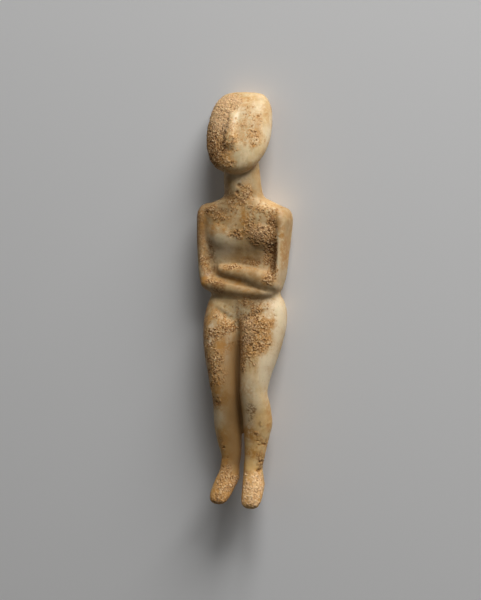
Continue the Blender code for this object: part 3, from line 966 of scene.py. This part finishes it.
upright = start.node("ShaderNodeMapping", {}, {"Vector": where, "Scale": STREAK_SQUEEZE})
streaks = clouds(2.2, 3.0, place=upright).step(0.40, 0.62)
cream_share = (clouds(11.0) + 0.15 * streaks).step(0.42, 0.70)
stone = cream_share.colours(WARM_CREAM, GREENISH_CREAM)
stone = (mask("edge_wear") * 0.6).colours(stone, WORN_PALE)
print("The bare stone goes from", WARM_CREAM[:3], "to", GREENISH_CREAM[:3])

# %% [markdown]
# Honey tints come next, then the brown patina, and then the clean parts and the painted
# highlights, which hide what lies under them. The ochre blots are younger than all of these.

# %% Tints, patina and painted highlights
LIGHT_HONEY = (0.66, 0.44, 0.19, 1.0)
HONEY = (0.47, 0.215, 0.040, 1.0)
LEG_HONEY = (0.66, 0.42, 0.16, 1.0)
EARTH_BROWN = (0.33, 0.19, 0.07, 1.0)
CLEAN_CREAM_AND_HIGHLIGHT = (0.80, 0.67, 0.46, 1.0)

honey_share = clouds(13.0, 4.0).step(0.42, 0.60) * (0.35 + 0.25 * streaks)
stone = honey_share.colours(stone, LIGHT_HONEY)
leg_share = mask("lower_legs") * (0.60 + 0.35 * clouds(6.0, 4.0).step(0.38, 0.60))
stone = leg_share.colours(stone, LEG_HONEY)
ochre_share = clouds(3.4, 4.0, 0.6).step(0.48, 0.62) * (0.18 + 0.7 * mask("ochre"))
stone = ochre_share.colours(stone, HONEY)
side_share = mask("sides") * 0.45 * clouds(6.0).step(0.3, 0.6)
stone = side_share.colours(stone, HONEY)
right_share = mask("own_right") * 0.5 * clouds(5.0, 4.0).step(0.36, 0.62)
stone = right_share.colours(stone, EARTH_BROWN)
patina_share = mask("patina") * (0.64 + 0.32 * clouds(4.0, 4.0).step(0.36, 0.62))
stone = patina_share.colours(stone, EARTH_BROWN)
# Clean cream, which also paints the highlights.
clean_and_highlight_share = mask("clean_and_highlights") * clouds(7.0).step(0.2, 0.5) * 0.75
stone = clean_and_highlight_share.colours(stone, CLEAN_CREAM_AND_HIGHLIGHT)
blot_share = mask("ochre") * clouds(2.0, 4.0).step(0.30, 0.56) * 0.85
stone = blot_share.colours(stone, HONEY)
print("Nodes so far:", len(marble.node_tree.nodes))

# %% [markdown]
# Near the crust the marble has a thin ochre film with pale and brown specks, the remains of
# crust that fell off. Pitted parts have small orange specks, and each pit is dark with an
# ochre rim.

# %% Film, specks and pits
SPECK_ORANGE = (0.50, 0.25, 0.07, 1.0)
RUST_BROWN_AND_SHADE = (0.21, 0.088, 0.022, 1.0)
CRUST_OCHRE = (0.56, 0.285, 0.085, 1.0)
CRUST_PALE = (0.86, 0.62, 0.34, 1.0)

speckle = clouds(0.9, 2.0)
orange_share = clouds(1.3, 3.0).step(0.50, 0.62) * mask("pitted") * 0.55
stone = orange_share.colours(stone, SPECK_ORANGE)
film_share = mask("crust_near") * (0.22 + 0.65 * clouds(1.6, 4.0).step(0.40, 0.60))
stone = film_share.colours(stone, CRUST_OCHRE)
pale_share = mask("crust_near") * speckle.step(0.54, 0.66) * 0.4
stone = pale_share.colours(stone, CRUST_PALE)
speck_share = clouds(1.2, 3.0).step(0.58, 0.70) * (0.22 + 0.5 * mask("crust_near"))
stone = speck_share.colours(stone, EARTH_BROWN)
# The brown mask is mostly stains, with painted shade beside and under the nose.
brown_and_nose_shade_share = mask("brown_and_nose_shade") * clouds(1.4, 4.0, 0.6).step(0.36, 0.60) * 0.85
stone = brown_and_nose_shade_share.colours(stone, RUST_BROWN_AND_SHADE)
stone = (mask("pit_rims") * 0.42).colours(stone, HONEY)
stone = (mask("pits") * 0.55).colours(stone, RUST_BROWN_AND_SHADE)
print("Nodes so far:", len(marble.node_tree.nodes))

# %% [markdown]
# The crust is brown and ochre, darker over the patina and pinkish in its pale parts. Its grains
# are paler the higher they stand and darker in the holes.

# %% Colours of the crust
CRUST_BROWN = (0.34, 0.165, 0.055, 1.0)
CRUST_EARTH = (0.22, 0.105, 0.036, 1.0)
CRUST_PINK = (0.72, 0.475, 0.26, 1.0)
CRUST_DARK = (0.13, 0.058, 0.018, 1.0)

crust_top = mask("crust_top")
crust_colour = clouds(4.0, 4.0).step(0.42, 0.58).colours(CRUST_BROWN, CRUST_OCHRE)
earth_share = 0.25 * clouds(2.0, 3.0).step(0.46, 0.58) + 0.55 * mask("patina")
crust_colour = earth_share.colours(crust_colour, CRUST_EARTH)
crust_colour = (mask("ochre") * 0.35).colours(crust_colour, CRUST_OCHRE)
crust_colour = (mask("pale_crust") * 0.66).colours(crust_colour, CRUST_PINK)
crust_colour = (speckle.step(0.54, 0.66) * 0.6).colours(crust_colour, CRUST_PALE)
dark_specks = (1.0 - speckle.step(0.36, 0.47)) * (0.85 - 0.5 * mask("pale_crust"))
crust_colour = dark_specks.colours(crust_colour, CRUST_DARK)
crust_colour = (crust_top.step(0.7, 1.15) * 0.7).colours(crust_colour, CRUST_PALE)
dark_holes = (1.0 - crust_top.step(0.05, 0.40)) * (0.85 - 0.4 * mask("pale_crust"))
crust_colour = dark_holes.colours(crust_colour, CRUST_DARK)
print("Nodes so far:", len(marble.node_tree.nodes))

# %% [markdown]
# Last, the crust is laid over the stone, and over both go the dirt in the hollows with its painted
# shade, and the painted shade between the legs. Bare marble has a dull polish and the crust has
# none. Fine bumps finish what is too small for the mesh, and a little light spreads under the
# surface of marble, red furthest, which subsurface scattering gives.

# %% Dirt, painted shade, polish and bumps
HOLLOW_DIRT_AND_SHADE = (0.22, 0.11, 0.034, 1.0)
PAINTED_CLEFT_SHADE = (0.24, 0.13, 0.045, 1.0)
BUMP_DEPTH = 0.22 * MM
LIGHT_SPREAD = 1.5 * MM
SPREAD_BY_COLOUR = (1.0, 0.6, 0.3)
SHARE_UNDER_SURFACE = 0.15
LOW_SHINE = 0.3

crust_mask = mask("crust")
surface = crust_mask.colours(stone, crust_colour)
# The hollows are darkened by dirt and by painted shade.
surface = (mask("hollow_dirt_and_shade") * 0.45).colours(surface, HOLLOW_DIRT_AND_SHADE)
# Painted shade on the right leg's slope between the legs.
surface = (mask("painted_cleft_shade") * 0.85).colours(surface, PAINTED_CLEFT_SHADE)
marble.node_tree.links.new(surface.socket, shader.inputs["Base Color"])

dullness = 0.44 + 0.16 * clouds(2.0) + 0.38 * crust_mask
marble.node_tree.links.new(dullness.socket, shader.inputs["Roughness"])

bumps = clouds(0.5, 4.0, 0.7) * (0.12 + 0.88 * crust_mask)
bump_sockets = {"Strength": 0.5, "Distance": BUMP_DEPTH, "Height": bumps}
bump = start.node("ShaderNodeBump", {}, bump_sockets)
marble.node_tree.links.new(bump.socket, shader.inputs["Normal"])
shader.inputs["Subsurface Weight"].default_value = SHARE_UNDER_SURFACE
shader.inputs["Subsurface Radius"].default_value = SPREAD_BY_COLOUR
shader.inputs["Subsurface Scale"].default_value = LIGHT_SPREAD
shader.inputs["Specular IOR Level"].default_value = LOW_SHINE

figurine.data.materials.clear()
figurine.data.materials.append(marble)
print("The finish has", len(marble.node_tree.nodes), "nodes.")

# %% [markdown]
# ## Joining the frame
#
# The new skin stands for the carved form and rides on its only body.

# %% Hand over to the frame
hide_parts("figurine")
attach(figurine, "root")
